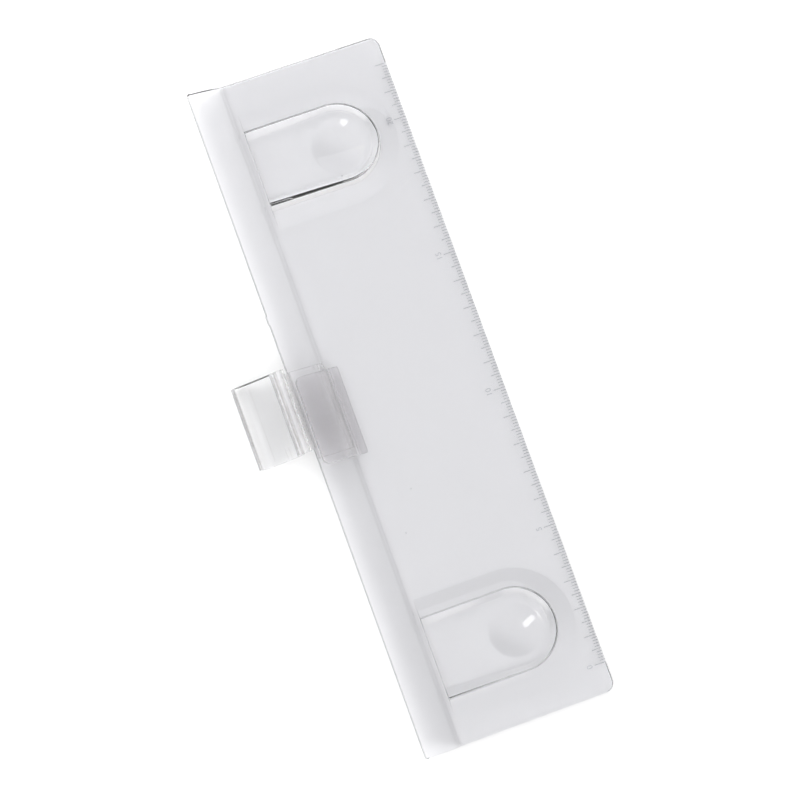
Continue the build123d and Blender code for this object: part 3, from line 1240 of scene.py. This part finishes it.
@dataclass
class Leaf:
    """Curved plate that slides under the hook, with a neck and a round bead along its outer edge."""

    form: ClipForm
    length: float = 31.0
    shift: float = 2.8
    end_gap: float = 0.6
    bead_length: float = 27.0
    bead_shift: float = 4.6
    neck: float = 1.1
    inner_round: float = 0.45
    outer_share: float = 0.08
    inner_share: float = 0.93
    steps: int = 18
    edge: float = 0.15
    edge_midway: float = 0.3
    bead_steps: int = 40

    def build(self, material: bpy.types.Material) -> bpy.types.Object:
        """Build the leaf.

        The plate's outline runs the whole length. Along the bead the plate's edge is opened for the
        neck, whose two sides run out to the bead's circle.

        Args:
            material: Finish of the leaf.

        Returns:
            The finished piece.
        """
        sheet = self.form.sheet
        under, over = self.form.leaf_under, self.form.leaf_top
        slope = sheet.edge_angle
        inner = sheet.root_angle - self.end_gap / ((under + over) / 2)
        # The steps are short at the outer edge, and the last one leaves room for the inner edge's round
        edge_steps = np.linspace(0, self.outer_share, 3)[:-1]
        inward_steps = np.linspace(self.outer_share, self.inner_share, self.steps)
        share = np.concatenate([edge_steps, inward_steps, [1.0]])
        turn = slope + (inner - slope) * share
        below = sheet.on_crown(under, turn)
        above = sheet.on_crown(over, turn)[::-1]
        out = np.array([-cos(slope), sin(slope)])
        up = np.array([sin(slope), cos(slope)])
        root = sheet.on_crown((under + over) / 2, slope)
        high, low = root + up * self.neck / 2, root - up * self.neck / 2
        corners = np.concatenate([below, above, [high, low]])
        radii = np.zeros(len(corners))
        radii[len(turn) - 1 : len(turn) + 1] = self.inner_round
        plate = rounded(corners, radii)
        half = asin(self.neck / 2 / self.form.bead_radius)
        swing = np.linspace(half, 2 * np.pi - half, self.bead_steps)
        bead = self.form.hinge + self.form.bead_radius * (
            -out * np.cos(swing)[:, None] + up * np.sin(swing)[:, None]
        )
        arm = np.concatenate([plate, bead])
        shell = Shell()
        end, mid = self.length / 2, self.bead_length / 2
        midway = self.edge * self.edge_midway
        drawn = np.array([self.edge + END_DRAW, self.edge, midway, 0, 0])
        place = np.array([end, end, end - midway, end - self.edge])
        for side in (-1, 1):
            rows = inset(np.broadcast_to(plate, (len(drawn), *plate.shape)), drawn)
            stop = self.bead_shift + side * mid
            y = np.broadcast_to(np.append(self.shift + side * place, stop)[:, None], rows.shape[:2])
            solid = np.stack([rows[..., 0], y, rows[..., 1]], -1)
            shell.grid(solid, ring=True)
            shell.face(solid[0])
            neck = np.concatenate([[high], bead, [low]])
            shell.face(np.insert(neck, 1, stop, axis=1))
        middle = np.stack([np.insert(arm, 1, self.bead_shift + side * mid, axis=1) for side in (-1, 1)])
        shell.grid(middle, ring=True)
        return settle(shell.piece("hinge_plate", material), Body.LEAF, Slot.CLIP, "hinge_leaf")


@dataclass
class Bracket:
    """Snap socket, flat plate and up-curled lip, with the adhesive pad below."""

    form: ClipForm
    length: float = 29.3
    shift: float = 5.0
    plate_reach: float = 13.15
    lip_radius: float = 3.0
    lip_angle: float = radians(116.0)
    lift: float = radians(30.0)
    drop: float = radians(60.0)
    stop_margin: float = radians(4.0)
    neck: float = 1.1
    corner_round: float = 0.27
    plate_round: float = 0.12
    ring_steps: int = 40
    lip_steps: int = 24
    edge: float = 0.22
    pad_thickness: float = 0.8
    pad_start: float = 4.6
    pad_width: float = 8.5
    pad_length: float = 26.0
    pad_gap: float = 0.02
    pad_round: float = 0.16
    pad_steps: int = 3
    pad_edge: float = 0.1

    @property
    def slope(self) -> float:
        """How far the plate hangs below level: until the pad's far edge meets the ground.

        Returns:
            Angle below level, in radians.
        """
        far = self.pad_start + self.pad_width
        under = self.form.socket_outer + self.pad_thickness
        return asin(self.form.hinge[1] / hypot(far, under)) - atan2(under, far)

    def at(self, along: np.ndarray, below: np.ndarray) -> np.ndarray:
        """Turn distances from the hinge axis to places.

        Args:
            along: Distances out along the plate.
            below: Distances below the axis, square to the plate.

        Returns:
            X and Z as (point, 2).
        """
        c, s = cos(self.slope), sin(self.slope)
        turned = np.stack([below * s - along * c, -along * s - below * c], -1)
        return self.form.hinge + turned

    def build(self, material: bpy.types.Material) -> bpy.types.Object:
        """Build the bracket.

        Its outline runs over the socket's outer circle, out along the plate's top, round the lip,
        back below, up the mouth's face and back round the inner circle.

        Args:
            material: Finish of the bracket.

        Returns:
            The finished piece.
        """
        inner, outer = self.form.socket_inner, self.form.socket_outer
        half_neck = asin(self.neck / 2 / inner)
        edge_angle = self.form.sheet.edge_angle
        first = half_neck + self.lift + self.stop_margin - edge_angle
        last = 2 * np.pi - half_neck - self.drop - self.stop_margin - edge_angle
        meet = np.pi + self.slope + asin(inner / outer)

        def ring(radius: float, begin: float, stop: float) -> np.ndarray:
            """Arc about the hinge axis."""
            turn = np.linspace(begin, stop, self.ring_steps)
            return self.form.hinge + radius * np.stack([np.cos(turn), np.sin(turn)], -1)

        def lip(radius: float, begin: float, stop: float) -> np.ndarray:
            """Arc of the lip about its centre above the plate's end.

            Args:
                radius: Radius of the arc.
                begin: Angle at its first point, from straight down.
                stop: Angle at its last point.

            Returns:
                X and Z as (point, 2).
            """
            turn = np.linspace(begin, stop, self.lip_steps)
            along = self.plate_reach + radius * np.sin(turn)
            return self.at(along, inner - self.lip_radius + radius * np.cos(turn))

        mouth = 1.5 * np.pi + self.slope - last
        over = ring(outer, first, meet)
        curl = lip(self.lip_radius, 0, self.lip_angle)
        back = lip(self.lip_radius + self.form.socket_wall, self.lip_angle, 0)
        foot = self.at(np.array([outer * tan(mouth)]), np.array([outer]))
        bore = ring(inner, last, first)
        corners = np.concatenate([over, curl, back, foot, bore])
        lip_end = self.ring_steps + self.lip_steps
        radii = np.zeros(len(corners))
        radii[[0, lip_end - 1, lip_end, lip_end + self.lip_steps]] = self.corner_round
        radii[self.ring_steps - 1] = self.plate_round
        shell = Shell()
        shell.bar(rounded(corners, radii), self.length, self.edge, self.shift)
        return settle(shell.piece("swing_bracket", material), Body.BRACKET, Slot.CLIP, "mount_bracket")

    def pad(self, material: bpy.types.Material) -> bpy.types.Object:
        """Build the adhesive pad under the plate.

        Args:
            material: Finish of the pad.

        Returns:
            The finished piece.
        """
        along = self.pad_start + self.pad_width * np.array([0, 1, 1, 0])
        depth = np.repeat([self.pad_gap, self.pad_thickness], 2)
        corners = self.at(along, self.form.socket_outer + depth)
        outline = rounded(corners, np.full(len(corners), self.pad_round), self.pad_steps)
        shell = Shell()
        shell.bar(outline, self.pad_length, self.pad_edge, self.shift)
        return settle(shell.piece("tape_pad", material), Body.BRACKET, Slot.ADHESIVE, "adhesive_pad")


@dataclass(frozen=True)
class Softbox:
    """Soft-edged rectangle of light in the sky, by direction and by its half sizes as tangents."""

    aim: tuple[float, float, float]
    half_width: float
    half_height: float
    soft: float
    strength: float
    least_ahead: float = 0.02

    def light(self, tree: bpy.types.NodeTree, ray: bpy.types.NodeSocket) -> bpy.types.NodeSocket:
        """Add the nodes that give the softbox's light along a ray.

        A ray's place on the box is its dot product with the box's sideways and upward directions over
        its dot product with the aim.

        Args:
            tree: World node tree.
            ray: Socket that gives the ray's direction.

        Returns:
            Socket that gives the light.
        """
        aim = unit(self.aim)
        sideways = unit(np.cross(aim, [0, 0, 1]))
        upward = np.cross(sideways, aim)
        ahead = maths(tree, "MAXIMUM", facing(tree, ray, aim), self.least_ahead)
        light = self.strength
        for axis, half in ((sideways, self.half_width), (upward, self.half_height)):
            place = maths(tree, "DIVIDE", facing(tree, ray, axis), ahead)
            edge = (half - self.soft, half + self.soft)
            fade = ramp(tree, maths(tree, "ABSOLUTE", place), edge, (1.0, 0.0), eased=True)
            light = maths(tree, "MULTIPLY", light, fade)
        return light


@dataclass
class Studio:
    """Pale floor, soft light and the camera of the photograph's view.

    The sky has a base level and eased steps along the cosine to the light's side: from, to and change.
    """

    floor_drop: float = 0.3
    floor_half: float = 15000.0
    floor_colour: str = "#FCFCFC"
    sky_level: float = 1.17
    sky_steps: tuple[tuple[float, float, float], ...] = (
        (-0.78, -0.52, -0.72), (-0.45, -0.05, 1.1), (0.1, 0.5, -0.94)
    )
    toward_light: tuple[float, float, float] = (-0.66, -0.75, 0.0)
    boxes: tuple[Softbox, ...] = (
        Softbox(aim=(-0.3, -0.535, 0.79), half_width=0.55, half_height=0.2, soft=0.1, strength=2.1),
    )
    eye: tuple[float, float, float] = (-143.2, -88.6, 1013.9)
    look: tuple[float, float, float] = (0.1388, 0.0840, -0.9867)
    up: tuple[float, float, float] = (0.3276, 0.9364, 0.1258)
    lens: float = 135.0
    sensor: float = 36.0
    clip: tuple[float, float] = (0.01, 100.0)
    lamp_place: tuple[float, float, float] = (-130.0, -170.0, 1637.0)
    lamp_size: tuple[float, float] = (330.0, 150.0)
    lamp_turn: float = radians(25.0)
    lamp_power: float = 0.8
    fill_place: tuple[float, float, float] = (0.0, 460.0, 320.0)
    fill_size: float = 700.0
    fill_power: float = 1.72

    def floor(self) -> bpy.types.Object:
        """Lay the floor just below the sheet.

        Returns:
            The floor.
        """
        material = bpy.data.materials.new("matt paper, white")
        material.use_nodes = True
        shader = material.node_tree.nodes["Principled BSDF"]
        shader.inputs["Base Color"].default_value = linear(self.floor_colour)
        shader.inputs["Roughness"].default_value = 1.0
        shader.inputs["Specular IOR Level"].default_value = 0.0
        side = np.array([[-1, -1], [1, -1], [1, 1], [-1, 1]]) * self.floor_half
        points = np.concatenate([side, np.full((4, 1), -self.floor_drop)], -1) * MM
        mesh = bpy.data.meshes.new("floor")
        mesh.from_pydata(points.tolist(), [], [[0, 1, 2, 3]])
        mesh.materials.append(material)
        floor = put("floor", mesh)
        return floor

    def sky(self) -> None:
        """Light the world with the sky's level, its steps and the softboxes, all added up."""
        world = bpy.data.worlds.new("studio")
        world.use_nodes = True
        bpy.context.scene.world = world
        tree = world.node_tree
        tree.nodes.clear()
        ray = add(tree, "ShaderNodeTexCoord", {}, {}).outputs["Generated"]
        side = facing(tree, ray, unit(self.toward_light))
        parts = [ramp(tree, side, (a, b), (0.0, change), eased=True) for a, b, change in self.sky_steps]
        parts += [box.light(tree, ray) for box in self.boxes]
        total = self.sky_level
        for part in parts:
            total = maths(tree, "ADD", total, part)
        shine = add(tree, "ShaderNodeBackground", {}, {"Color": linear("#FFFFFF"), "Strength": total})
        add(tree, "ShaderNodeOutputWorld", {}, {"Surface": shine.outputs[0]})

    def lamps(self) -> None:
        """Hang the window, which shows only as a reflection, and the fill, which shows in none."""
        window = bpy.data.lights.new("window_lamp", "AREA")
        window.shape = "RECTANGLE"
        window.size, window.size_y = (side * MM for side in self.lamp_size)
        window.energy = self.lamp_power
        lamp = put("window_lamp", window)
        lamp.location = [c * MM for c in self.lamp_place]
        lamp.rotation_euler = (0.0, 0.0, self.lamp_turn)
        lamp.visible_camera = lamp.visible_diffuse = lamp.visible_transmission = False
        soft = bpy.data.lights.new("fill_lamp", "AREA")
        soft.size = self.fill_size * MM
        soft.energy = self.fill_power
        fill = put("fill_lamp", soft)
        fill.location = [c * MM for c in self.fill_place]
        fill.rotation_euler = (-atan2(self.fill_place[1], self.fill_place[2]), 0.0, 0.0)
        fill.visible_camera = fill.visible_glossy = False

    def camera(self) -> None:
        """Set the camera at the photograph's viewing angle."""
        data = bpy.data.cameras.new("photo_view")
        data.lens = self.lens
        data.sensor_width = self.sensor
        data.clip_start, data.clip_end = self.clip
        look = unit(self.look)
        right = unit(np.cross(look, self.up))
        up = np.cross(right, look)
        turn = np.eye(4)
        turn[:3, :3] = np.stack([right, up, -look], -1)
        turn[:3, 3] = np.array(self.eye) * MM
        camera = put("photo_view", data)
        camera.matrix_world = Matrix(turn.tolist())
        bpy.context.scene.camera = camera

    def build(self) -> None:
        """Set up the floor, light, camera and view transform."""
        self.floor()
        self.sky()
        self.lamps()
        self.camera()
        bpy.context.scene.view_settings.view_transform = "Standard"


def main() -> None:
    """Build every piece in order, then the studio."""
    logging.basicConfig(level=logging.INFO, format="%(name)s: %(message)s")
    sheet_plastic = ClearPlastic("clear polystyrene, moulded sheet", "#FAFAFC").make()
    hook_plastic = ClearPlastic("clear polystyrene, moulded hook", "#F9F7F9", body=0.62).make()
    leaf_plastic = ClearPlastic("clear polystyrene, moulded leaf", "#FCFBFC", body=0.42).make()
    bracket_plastic = ClearPlastic("clear polystyrene, moulded bracket", "#FDFDFE", body=0.75).make()
    marks = FrostedMarks("frosted polystyrene, moulded marks", "#B4B6BB", "#C3C5CA").make()
    digits = FrostedMarks("frosted polystyrene, moulded digits", "#C6C8CD", "#D4D6DA").make()
    gel = AdhesiveGel("clear acrylic foam tape", "#F8F9F9", "#F2F3F4").make()
    sheet = SheetForm()
    outline = TongueForm()
    clip = ClipForm(sheet)
    panel = Panel(sheet, outline)
    panel.build(sheet_plastic)
    low, high = panel.openings
    upper = Tongue(outline, sheet, Body.UPPER_TONGUE, high, low_gap=(1.5, 1.2), undercut=(1.5, 0.74))
    upper.build(sheet_plastic)
    lower = Tongue(outline, sheet, Body.LOWER_TONGUE, low, undercut=(0.3, 0.1))
    lower.build(sheet_plastic)
    scale = Graduations(panel)
    scale.build(marks)
    for value in scale.numbers:
        scale.number(value, digits)
    Hook(clip).build(hook_plastic)
    Leaf(clip).build(leaf_plastic)
    bracket = Bracket(clip)
    bracket.build(bracket_plastic)
    bracket.pad(gel)
    Studio().build()


if __name__ == "__main__":
    main()
